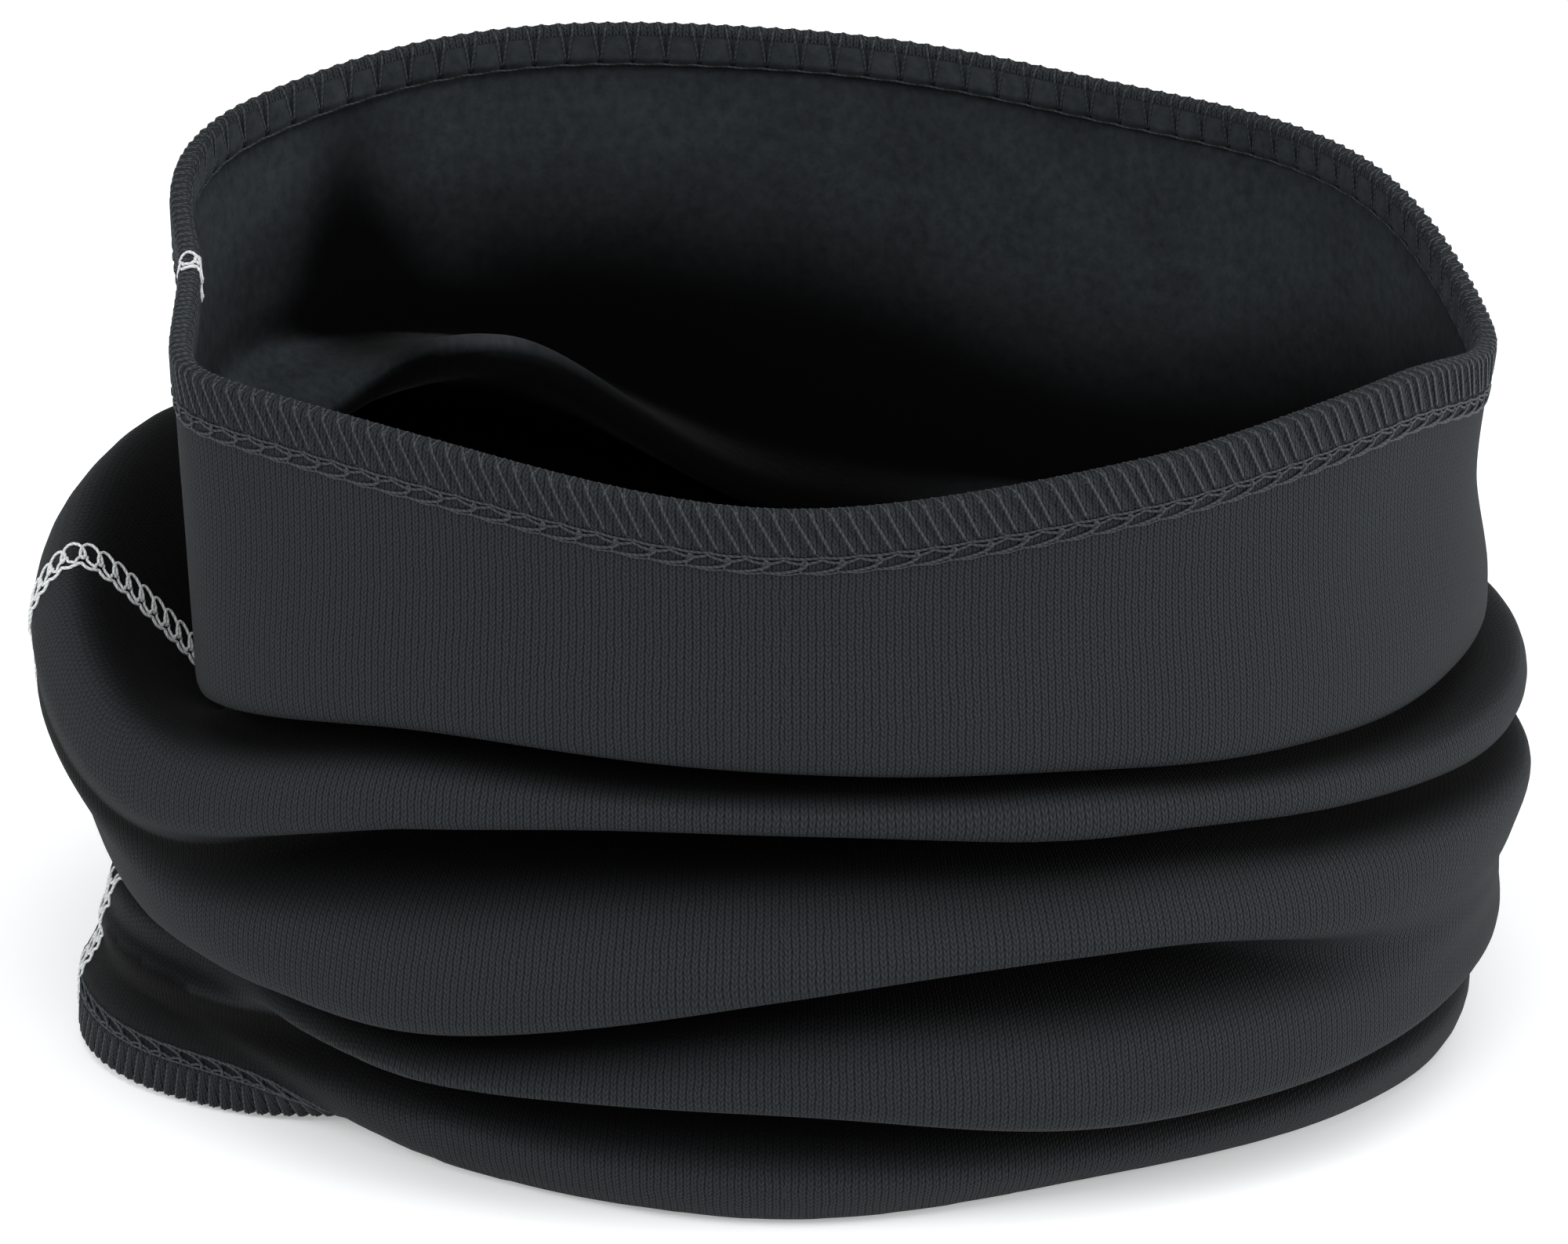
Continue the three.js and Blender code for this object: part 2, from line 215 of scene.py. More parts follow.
@dataclass
class Cloth:
    """The middle surface of the cloth, as a fine grid of columns, with its lengths and its normals.

    Args:
        half_width: the plan's half width, in mm.
        half_depth: the plan's half depth, in mm.
        thickness: the brushed jersey's thickness, in mm.
        hem: how far the cloth is turned in at each end, in mm.
        flat_width: the tube's width round when it lies flat and slack, in mm.
        pressed_from: how far left the collar's end starts to be pressed flat, in mm.
        pressed_to: how far left the pressed end can reach, in mm, every 30 degrees.
        columns: columns of the grid round the tube.
        steps: rows of the grid between two fold lines.
        shift: from the cloth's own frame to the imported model's, in mm.
        ripples: the waves laid over the folds.
    """

    half_width: float = 100.0
    half_depth: float = 60.0
    thickness: float = 1.2
    hem: float = 6.5
    flat_width: float = 510.0
    pressed_from: float = 78.0
    pressed_to: Keys = (88, 90, 90, 90, 90, 90, 90, 90, 93, 87.5, 87, 87.5)
    columns: int = 1440
    steps: int = 10
    shift: tuple[float, float] = (0.0, 0.0)
    ripples: tuple[Ripple, ...] = (
        Ripple(3, 0.0, 0.35, 0.10),
        Ripple(5, 0.7, 0.30, 0.35),
        Ripple(8, -0.9, 0.22, 0.62),
        Ripple(13, 1.6, 0.12, 0.20),
    )
    points: Grid = field(init=False)
    normals: Grid = field(init=False)
    lengths: Grid = field(init=False)

    def __post_init__(self) -> None:
        """Works out the grid."""
        turns = np.arange(self.columns) * FULL_TURN / self.columns
        self.points = self._curve(self._knots(turns))
        steps = np.linalg.norm(np.diff(self.points, axis=0), axis=2)
        self.lengths = np.vstack([np.zeros(self.columns), np.cumsum(steps, axis=0)])
        self.normals = self._normals(self.points)
        self.points = self.points + self.normals * self._relief(turns)[..., None]
        self.normals = self._normals(self.points)

    @staticmethod
    def around(keys: Keys, turns: Grid) -> Grid:
        """A smooth loop through the keys: the uniform Catmull-Rom spline, closed on itself.

        Args:
            keys: the values at even steps round the tube.
            turns: where to read it, in degrees.

        Returns:
            The value at each turn.
        """
        values = np.asarray(keys, float)
        at = np.mod(turns, FULL_TURN) * len(values) / FULL_TURN
        i = np.floor(at).astype(int)
        f = at - i
        a, b, c, d = (values[(i + k) % len(values)] for k in (-1, 0, 1, 2))
        cubic = 3 * b - a - 3 * c + d
        return 0.5 * (2 * b + (c - a) * f + (2 * a - 5 * b + 4 * c - d) * f**2 + cubic * f**3)

    def _pressed(self, x: Grid, turns: Grid) -> Grid:
        """The collar's x at its pressed end: it creeps up to the limit by a hyperbolic tangent."""
        soft = self.around(self.pressed_to, turns) - self.pressed_from
        past = np.maximum(-self.pressed_from - x, 0)
        return np.where(past > 0, -self.pressed_from - soft * np.tanh(past / soft), x)

    def _knots(self, turns: Grid) -> Grid:
        """The fold lines' points: the ellipse's point, moved `out` along its normal, at the height `up`.

        Args:
            turns: the columns, in degrees.

        Returns:
            An array of lines by columns by 3; a root gives two lines.
        """
        angle = np.radians(turns)
        normal = np.stack([np.sin(angle) / self.half_width, -np.cos(angle) / self.half_depth])
        normal = normal / np.linalg.norm(normal, axis=0)
        lines = []
        for fold in FOLDS:
            away, height = self.around(fold.out, turns), self.around(fold.up, turns)
            x = self.half_width * np.sin(angle) + away * normal[0]
            y = -self.half_depth * np.cos(angle) + away * normal[1]
            x = self._pressed(x, turns) if fold.collar else x
            half = self.around(fold.gap, turns)
            for z in (height + half, height - half) if fold.root else (height,):
                lines.append(np.stack([x + self.shift[0], y + self.shift[1], z], axis=-1))
        return np.array(lines)

    def _curve(self, knots: Grid) -> Grid:
        """Each column through its knots: the centripetal Catmull-Rom spline, with mirrored ends.

        Args:
            knots: lines by columns by 3.

        Returns:
            Rows by columns by 3, `steps` rows to each pair of lines.
        """
        ends = np.concatenate([2 * knots[:1] - knots[1:2], knots, 2 * knots[-1:] - knots[-2:-1]])
        gap = np.sqrt(np.linalg.norm(np.diff(ends, axis=0), axis=2))[..., None]
        gap = np.maximum(gap, 1e-4)
        a, b, c, d = ends[:-3], ends[1:-2], ends[2:-1], ends[3:]
        before, here, after = gap[:-2], gap[1:-1], gap[2:]
        leave = ((b - a) / before - (c - a) / (before + here) + (c - b) / here) * here
        arrive = ((c - b) / here - (d - b) / (here + after) + (d - c) / after) * here
        f = (np.arange(self.steps) / self.steps)[None, :, None, None]
        b, c, leave, arrive = (v[:, None] for v in (b, c, leave, arrive))
        cubic = b + leave * f + (3 * c - 3 * b - 2 * leave - arrive) * f**2 + (2 * b - 2 * c + leave + arrive) * f**3
        return np.concatenate([cubic.reshape(-1, *knots.shape[1:]), knots[-1:]])

    @staticmethod
    def _normals(points: Grid) -> Grid:
        """The outward normals: the slope down the cloth crossed with the slope round it."""
        down = np.gradient(points, axis=0)
        along = np.roll(points, -1, axis=1) - np.roll(points, 1, axis=1)
        normal = np.cross(down, along)
        return normal / np.linalg.norm(normal, axis=2, keepdims=True)

    def _relief(self, turns: Grid) -> Grid:
        """How far the ripples lift the cloth: a sum of sines, faded in from 3 mm to 9 mm over the ground."""
        total = np.zeros_like(self.lengths)
        for r in self.ripples:
            turn = r.waves * turns[None] / FULL_TURN + r.rows * self.lengths / 100 + r.phase
            total += r.height * np.sin(2 * np.pi * turn)
        off_ground = np.clip((self.points[:, :, 2] - 3) / 6, 0, 1)
        return total * off_ground

    def near(self, turn: Grid) -> Grid:
        """The number of the grid's column nearest to each turn."""
        return np.round(turn * self.columns / FULL_TURN).astype(int) % self.columns

    def total(self, turn: Grid) -> Grid:
        """The cloth's length from rim to bottom edge at a turn, in mm."""
        at = np.mod(turn, FULL_TURN) * self.columns / FULL_TURN
        i = np.floor(at).astype(int)
        f = at - i
        last = self.lengths[-1]
        return last[i % self.columns] * (1 - f) + last[(i + 1) % self.columns] * f

    def _on_column(self, i: Grid, length: Grid) -> tuple[Grid, Grid]:
        """The point and the normal at a length down whole columns, between the two nearest rows.

        Args:
            i: the column of each reading.
            length: its length down the cloth, in mm.

        Returns:
            Points and normals, each n by 3.
        """
        apart = 1000.0  # more than any column's length, so the columns can be searched as one list
        flat = (self.lengths + np.arange(self.columns) * apart).T.ravel()
        rows = len(self.lengths)
        k = np.searchsorted(flat, length + i * apart) - i * rows
        k = np.clip(k, 1, rows - 1)
        low, high = self.lengths[k - 1, i], self.lengths[k, i]
        f = np.clip((length - low) / (high - low), 0, 1)[:, None]
        points = self.points[k - 1, i] * (1 - f) + self.points[k, i] * f
        return points, self.normals[k - 1, i] * (1 - f) + self.normals[k, i] * f

    def frame(self, turn: Grid, length: Grid) -> tuple[Grid, Grid]:
        """The middle surface's points and outward normals at pairs of turn and length.

        Args:
            turn: degrees round the tube, any shape.
            length: mm down the cloth, the same shape.

        Returns:
            Points and unit normals, with a last axis of 3.
        """
        turn, length = np.broadcast_arrays(np.asarray(turn, float), np.asarray(length, float))
        at = np.mod(turn.ravel(), FULL_TURN) * self.columns / FULL_TURN
        i = np.floor(at).astype(int) % self.columns
        f = (at - np.floor(at))[:, None]
        here = self._on_column(i, length.ravel())
        after = self._on_column((i + 1) % self.columns, length.ravel())
        points, normals = (p * (1 - f) + q * f for p, q in zip(here, after, strict=True))
        normals = normals / np.linalg.norm(normals, axis=1, keepdims=True)
        return points.reshape(*turn.shape, 3), normals.reshape(*turn.shape, 3)

    def lay(self, turn: Grid, length: Grid, away: Grid) -> Grid:
        """Points that stand `away` mm outside the middle surface, and a hair over the floor at the lowest."""
        points, normals = self.frame(turn, length)
        out = points + normals * np.broadcast_to(np.asarray(away, float), points.shape[:-1])[..., None]
        out[..., 2] = np.maximum(out[..., 2], 0.02)
        return out

    def past_edge(self, turn: Grid, length: Grid) -> Grid:
        """How far a place before the rim stands from the rim itself, along the cloth's own slope there.

        Args:
            turn: degrees round the tube.
            length: mm down the cloth; only values under 0 move.

        Returns:
            The offsets, with a last axis of 3.
        """
        short = np.minimum(length, 0)
        slope = self.frame(turn, 0 * short + 1.0)[0] - self.frame(turn, 0 * short)[0]
        return slope * short[..., None]

    def openness(self, turns: Grid, lengths: Grid) -> Grid:
        """How open the room is in front of points of the outer face, from 0 deep in a fold to 1, for the panel's
        painted shade.

        Each column is taken as its own outline. From a point, the cloth before it on the outline bounds the
        free directions on one side of the face's normal, and the cloth after it on the other; the openness is
        half the sum of the two bounds' sines, which is the share of an even light that the face would get.

        Args:
            turns: the columns, in degrees.
            lengths: rows by columns, in mm down the cloth.

        Returns:
            Rows by columns.
        """
        points, normals = self.frame(turns[None] + 0 * lengths, lengths)
        angle = np.radians(turns)
        square = np.stack([np.sin(angle) / self.half_width, -np.cos(angle) / self.half_depth], axis=-1)
        square = square / np.linalg.norm(square, axis=-1, keepdims=True)
        face, up = (np.stack([(v[..., :2] * square).sum(axis=-1), v[..., 2]], axis=-1) for v in (points, normals))
        up = up / np.maximum(np.linalg.norm(up, axis=-1, keepdims=True), 1e-6)
        clear, skim = 0.15, 0.1  # mm: the point's stand-off from its face, and the least rise that can shade it
        face = face + up * (self.thickness / 2 + clear)
        apart = face[None] - face[:, None]
        rise = (apart * up[:, None]).sum(axis=-1)
        back = apart[..., 1] * up[:, None, :, 0] - apart[..., 0] * up[:, None, :, 1]
        order = np.arange(len(lengths))
        after = (order[None] > order[:, None])[..., None]
        over = rise > skim
        before_bound = np.where(over & ~after, np.arctan2(back, rise), np.pi / 2).min(axis=1)
        after_bound = np.where(over & after, np.arctan2(-back, rise), np.pi / 2).min(axis=1)
        return np.clip((np.sin(before_bound) + np.sin(after_bound)) / 2, 0, 1)

    def row_lengths(self, turn: Grid, rows: int) -> Grid:
        """Rows for the panel between the hems, the same fold lines in every column.

        A row's place between the fold lines comes from the mean length down to it, so rows lie evenly on the
        cloth; the columns' first and last rows are then moved to the hems.

        Args:
            turn: the panel's columns, in degrees.
            rows: how many rows.

        Returns:
            Rows by columns, in mm down the cloth.
        """
        lengths = self.lengths[:, self.near(turn)]
        index = np.arange(len(lengths))
        least = 0.22  # mm added to each step, so that the tight roots get rows too
        weight = np.concatenate([[0], np.cumsum(np.diff(lengths.mean(axis=1)) + least)])
        ends = np.array([[np.interp(s, col, index) for s in (self.hem, col[-1] - self.hem)] for col in lengths.T])
        even = np.interp(np.linspace(0, weight[-1], rows), weight, index) / index[-1]
        place = ends[:, :1].T + even[:, None] * (ends[:, 1:] - ends[:, :1]).T
        return np.array([np.interp(p, index, col) for p, col in zip(place.T, lengths.T, strict=True)]).T


# ---------------------------------------------------------------------------------------------------------
# Meshes
# ---------------------------------------------------------------------------------------------------------


def new_piece(name: str, points: Grid, faces: list, uv: Grid, slots: Grid | None = None) -> bpy.types.Object:
    """A smooth-shaded object whose place is in its mesh, with its faces outwards.

    Args:
        name: the piece's name.
        points: n by 3, in mm.
        faces: lists of point numbers.
        uv: one pair for each face corner, in mm.
        slots: the material slot of each face.

    Returns:
        The new object, linked to the scene.
    """
    mesh = bpy.data.meshes.new(name)
    mesh.from_pydata((points * MM).tolist(), [], faces)
    layer = mesh.uv_layers.new(name="cloth_mm")
    layer.data.foreach_set("uv", np.ascontiguousarray(uv, np.float32).ravel())
    mesh.polygons.foreach_set("use_smooth", np.ones(len(mesh.polygons), bool))
    if slots is not None:
        mesh.polygons.foreach_set("material_index", slots.astype(np.int32))
    mesh.update()
    piece = bpy.data.objects.new(name, mesh)
    bpy.context.scene.collection.objects.link(piece)
    return piece


def shade(piece: bpy.types.Object, values: Grid | float) -> None:
    """Stores how open each point is to the room as the attribute "open", which the materials paint in as shade.

    Args:
        piece: the object.
        values: one value for each point, or one for all, from 0 to 1.
    """
    layer = piece.data.attributes.new("open", "FLOAT", "POINT")
    layer.data.foreach_set("value", np.broadcast_to(values, len(piece.data.vertices)).astype(np.float32).copy())


def loop_faces(rings: int, sides: int, closed: bool) -> tuple[Grid, Grid]:
    """The quads of a band of rings, each ring closed on itself.

    Args:
        rings: how many rings of points.
        sides: points in each ring.
        closed: True if the last ring joins the first.

    Returns:
        Point numbers of the quads, and the unwrapped (ring, side) of each of their corners.
    """
    i, j = np.meshgrid(np.arange(rings if closed else rings - 1), np.arange(sides), indexing="ij")
    corners = np.stack([np.stack([i + a, j + b], -1) for a, b in ((0, 0), (0, 1), (1, 1), (1, 0))], axis=2)
    corners = corners.reshape(-1, 4, 2)
    numbers = (corners[..., 0] % rings) * sides + corners[..., 1] % sides
    return numbers, corners


def smooth_step(way: Grid) -> Grid:
    """From 0 to 1 with level ends: three times the square less twice the cube, held past either end."""
    way = np.clip(way, 0, 1)
    return way * way * (3 - 2 * way)


def signed_volume(points: Grid, quads: Grid) -> float:
    """Six times the volume inside the quads: the sum of each triangle's box product."""
    a, b, c, d = (points[quads[:, k]] for k in range(4))
    return float(np.sum(a * np.cross(b, c)) + np.sum(a * np.cross(c, d)))


def sweep(name: str, rings: Grid, uv: Grid, closed: bool = True, slots: Grid | None = None) -> bpy.types.Object:
    """A closed solid through rings of points; an open run of rings gets a flat cap at each end.

    Args:
        name: the piece's name.
        rings: rings by sides by 3, in mm.
        uv: (rings + 1) by (sides + 1) by 2, in mm, so that a pattern can run on past the join.
        closed: True if the last ring joins the first.
        slots: the material slot of each side.

    Returns:
        The new object.
    """
    count, sides = rings.shape[:2]
    quads, corners = loop_faces(count, sides, closed)
    points = rings.reshape(-1, 3)
    marks = uv[corners[..., 0], corners[..., 1]]
    if signed_volume(points, quads) < 0:
        quads, marks = quads[:, ::-1], marks[:, ::-1]
    faces, marks = quads.tolist(), marks.reshape(-1, 2)
    if not closed:
        start, end = list(range(sides)), list(range((count - 1) * sides, count * sides))
        outward = quads[0].tolist().index(0) < quads[0].tolist().index(1)
        caps = [start[::-1], end] if outward else [start, end[::-1]]
        faces += caps
        marks = np.vstack([marks, np.zeros((2 * sides, 2))])
    which = None if slots is None else slots[corners[:, 0, 1] % sides]
    return new_piece(name, points, faces, marks, which)


@dataclass(frozen=True)
class Thread:
    """A sewing thread's cross-section.

    Args:
        width: across, along the cloth, in mm.
        height: off the cloth, in mm.
        sides: points round it.
    """

    width: float
    height: float
    sides: int = 6

    def rings(self, path: Grid, up: Grid, closed: bool) -> Grid:
        """Ellipses round a path: each is square to the path's slope and stands on the cloth's normal.

        Args:
            path: n by 3, in mm.
            up: the cloth's normals there.
            closed: True if the path joins its own start.

        Returns:
            n by sides by 3.
        """
        if closed:
            along = np.roll(path, -1, axis=0) - np.roll(path, 1, axis=0)
        else:
            along = np.gradient(path, axis=0)
        along = along / np.maximum(np.linalg.norm(along, axis=1, keepdims=True), 1e-6)
        across = np.cross(along, up)
        across = across / np.maximum(np.linalg.norm(across, axis=1, keepdims=True), 1e-6)
        lift = np.cross(across, along)
        angle = 2 * np.pi * np.arange(self.sides) / self.sides
        wide = np.cos(angle)[None, :, None] * across[:, None] * self.width / 2
        high = np.sin(angle)[None, :, None] * lift[:, None] * self.height / 2
        return path[:, None] + wide + high

    def marks(self, path: Grid) -> Grid:
        """UV in mm: u runs round the thread and v along it, by the lengths of its steps."""
        run = np.concatenate([[0], np.cumsum(np.linalg.norm(np.diff(path, axis=0), axis=1))])
        run = np.append(run, run[-1] + (run[-1] - run[-2]))
        turn = np.linspace(0, 1, self.sides + 1) * math.pi * self.width
        return np.stack(np.broadcast_arrays(turn[None, :], run[:, None]), axis=-1)


def join(name: str, parts: list[bpy.types.Object]) -> bpy.types.Object:
    """One object from several, with their meshes' faces and UVs kept.

    Args:
        name: the joined piece's name.
        parts: the objects, which are used up.

    Returns:
        The joined object.
    """
    if len(parts) > 1:
        with bpy.context.temp_override(active_object=parts[0], selected_editable_objects=parts):
            bpy.ops.object.join()
    parts[0].name = parts[0].data.name = name
    return parts[0]


# ---------------------------------------------------------------------------------------------------------
# Finishes
# ---------------------------------------------------------------------------------------------------------


def linear(colour: str) -> tuple[float, float, float, float]:
    """An sRGB hex colour as linear RGBA, by the sRGB curve."""
    parts = [int(colour[i : i + 2], 16) / 255 for i in (1, 3, 5)]
    r, g, b = (c / 12.92 if c <= 0.04045 else ((c + 0.055) / 1.055) ** 2.4 for c in parts)
    return r, g, b, 1.0


def add(tree: bpy.types.NodeTree, kind: str, inputs: dict | None = None, **settings: object) -> bpy.types.Node:
    """Adds a node with its settings and links.

    Args:
        tree: the material's node tree.
        kind: the node's type, without the leading "ShaderNode".
        inputs: socket name or number to a value, or to the output socket that feeds it.
        settings: the node's own properties.

    Returns:
        The node.
    """
    node = tree.nodes.new("ShaderNode" + kind)
    for key, value in settings.items():
        setattr(node, key, value)
    for key, value in (inputs or {}).items():
        if isinstance(value, bpy.types.NodeSocket):
            tree.links.new(value, node.inputs[key])
        else:
            node.inputs[key].default_value = value
    return node


def calc(tree: bpy.types.NodeTree, formula: str, *values: object) -> bpy.types.NodeSocket:
    """Adds one Math node by its operation's name and gives its output."""
    return add(tree, "Math", dict(enumerate(values)), operation=formula).outputs[0]


class Hand(Enum):
    """How a surface takes the light: the shader's roughness, sheen weight, sheen roughness and gloss."""

    KNITTED = (0.8, 0.02, 0.4, 0.12)
    BRUSHED = (0.95, 0.03, 0.5, 0.05)
    SPUN = (0.6, 0.04, 0.4, 0.25)


@dataclass(frozen=True)
class Finish:
    """A finish of the gaiter: its shader, with the pattern that each kind of finish draws.

    Args:
        name: the real material's name.
        dark: its colour in the pattern's hollows.
        light: its colour on the pattern's crowns.
        hand: how it takes the light.
        relief: the pattern's depth, in mm.
    """

    name: str
    dark: str
    light: str
    hand: Hand
    relief: float

    def pattern(self, tree: bpy.types.NodeTree) -> bpy.types.NodeSocket:
        """The pattern's height, from 0 in a hollow to 1 on a crown."""
        raise NotImplementedError

    def build(self) -> bpy.types.Material:
        """The material: the height mixes the two colours and drives the bump; on the cloth, the attribute "open"
        darkens the colour as painted shade.

        Returns:
            The new material.
        """
        material = bpy.data.materials.new(self.name)
        material.use_nodes = True
        tree = material.node_tree
        tree.nodes.clear()
        height = self.pattern(tree)
        colour = add(
            tree, "Mix", {0: height, 6: linear(self.dark), 7: linear(self.light)}, data_type="RGBA"
        ).outputs[2]
        # Painted shade: the cloth's colour is multiplied by how open each point is, so that its folds and its inside
        # go dark.
        if self.hand is not Hand.SPUN:
            sky = add(tree, "Attribute", attribute_name="open").outputs["Fac"]
            colour = add(tree, "VectorMath", {0: colour, 1: sky}, operation="MULTIPLY").outputs[0]
        bump = add(tree, "Bump", {"Strength": 0.8, "Distance": self.relief * MM, "Height": height})
        rough, sheen, sheen_rough, gloss = self.hand.value
        shader = add(
            tree,
            "BsdfPrincipled",
            {
                "Base Color": colour,
                "Roughness": rough,
                "Sheen Weight": sheen,
                "Sheen Roughness": sheen_rough,
                "Specular IOR Level": gloss,
                "Normal": bump.outputs[0],
            },
        )
        add(tree, "OutputMaterial", {"Surface": shader.outputs[0]})
        return material


@dataclass(frozen=True)
class JerseyFace(Finish):
    """Plain jersey's face: upright wales, each a stack of V loops, so the cloth reads as fine ribs.

    Args:
        wale: the spacing of the wales, in mm.
        course: the height of a loop, in mm.
    """

    wale: float = 0.88
    course: float = 0.8

    def pattern(self, tree: bpy.types.NodeTree) -> bpy.types.NodeSocket:
        """The two legs of each loop rise and fall as sines across the wale, and slant as V's down it."""
        mm = add(tree, "UVMap", uv_map="cloth_mm").outputs[0]
        wander = add(tree, "TexNoise", {"Vector": mm, "Scale": 0.35, "Detail": 2.0}).outputs[0]
        sides = add(tree, "SeparateXYZ", {0: mm})
        drift = calc(tree, "MULTIPLY_ADD", wander, 0.5, -0.25)
        across = calc(tree, "DIVIDE", calc(tree, "ADD", sides.outputs[0], drift), self.wale)
        off_centre = calc(tree, "ABSOLUTE", calc(tree, "SUBTRACT", calc(tree, "FRACT", across), 0.5))
        legs = calc(tree, "SINE", calc(tree, "MULTIPLY", off_centre, 2 * math.pi))
        crown = calc(tree, "COSINE", calc(tree, "MULTIPLY", off_centre, math.pi))
        profile = calc(tree, "MULTIPLY_ADD", crown, 0.35, calc(tree, "MULTIPLY", legs, 0.65))
        down = calc(tree, "DIVIDE", sides.outputs[1], self.course)
        slant = calc(tree, "MULTIPLY_ADD", off_centre, 2.0, down)
        loop = calc(tree, "MULTIPLY_ADD", calc(tree, "SINE", calc(tree, "MULTIPLY", slant, 2 * math.pi)), 0.3, 0.7)
        height = calc(tree, "MULTIPLY", profile, loop)
        grain = add(tree, "TexNoise", {"Vector": mm, "Scale": 1.7, "Detail": 3.0}).outputs[0]
        return calc(tree, "MULTIPLY_ADD", calc(tree, "SUBTRACT", grain, 0.5), 0.35, height)


@dataclass(frozen=True)
class BrushedBack(Finish):
    """The back of the jersey, brushed to a short soft nap that hides the loops and looks matt and cloudy.

    Args:
        tuft: the size of the nap's tufts, in mm.
    """

    tuft: float = 1.4

    def pattern(self, tree: bpy.types.NodeTree) -> bpy.types.NodeSocket:
        """Two sizes of noise, the finer one drawn out down the cloth as the brush leaves it."""
        mm = add(tree, "UVMap", uv_map="cloth_mm").outputs[0]
        drawn = add(tree, "Mapping", {"Vector": mm, "Scale": (1.0, 0.6, 1.0)}).outputs[0]
        tufts = add(tree, "TexNoise", {"Vector": drawn, "Scale": 1 / self.tuft, "Detail": 4.0, "Roughness": 0.65})
        cloud = add(tree, "TexNoise", {"Vector": mm, "Scale": 0.09, "Detail": 2.0})
        mixed = calc(tree, "MULTIPLY_ADD", cloud.outputs[0], 0.5, calc(tree, "MULTIPLY", tufts.outputs[0], 0.9))
        return calc(tree, "SUBTRACT", mixed, 0.2)


@dataclass(frozen=True)
class SpunThread(Finish):
    """Spun sewing thread: two plies twisted together, seen as slanting stripes along it.

    Args:
        twist: the length of one turn of the plies, in mm.
    """

    twist: float = 0.9

    def pattern(self, tree: bpy.types.NodeTree) -> bpy.types.NodeSocket:
        """A sine of the sum of the way round and the way along the thread."""
        mm = add(tree, "UVMap", uv_map="cloth_mm").outputs[0]
        sides = add(tree, "SeparateXYZ", {0: mm})
        run = calc(tree, "DIVIDE", calc(tree, "ADD", sides.outputs[0], sides.outputs[1]), self.twist)
        ply = calc(tree, "SINE", calc(tree, "MULTIPLY", run, 2 * math.pi))
        return calc(tree, "MULTIPLY_ADD", ply, 0.35, 0.6)


# Knitted polyester and elastane, dyed near black with a cool cast: the face shows fine upright ribs.
FACE = JerseyFace("charcoal_jersey_face", "#030405", "#34383b", Hand.KNITTED, 0.2)
# The same cloth's brushed side: no loops to see, a soft cloudy grey.
BACK = BrushedBack("charcoal_brushed_back", "#131517", "#3b4043", Hand.BRUSHED, 0.3)
# Polyester thread dyed with the cloth: its smooth plies catch a little more light, so the stitches just show.
HEM_THREAD = SpunThread("charcoal_spun_thread", "#0e1011", "#3a3f42", Hand.SPUN, 0.05)
# Undyed polyester thread: pale grey against the black of the folds.
SEAM_THREAD = SpunThread("pale_grey_spun_thread", "#a9adae", "#e4e6e6", Hand.SPUN, 0.05)


# ---------------------------------------------------------------------------------------------------------
# Sub-assemblies
# ---------------------------------------------------------------------------------------------------------


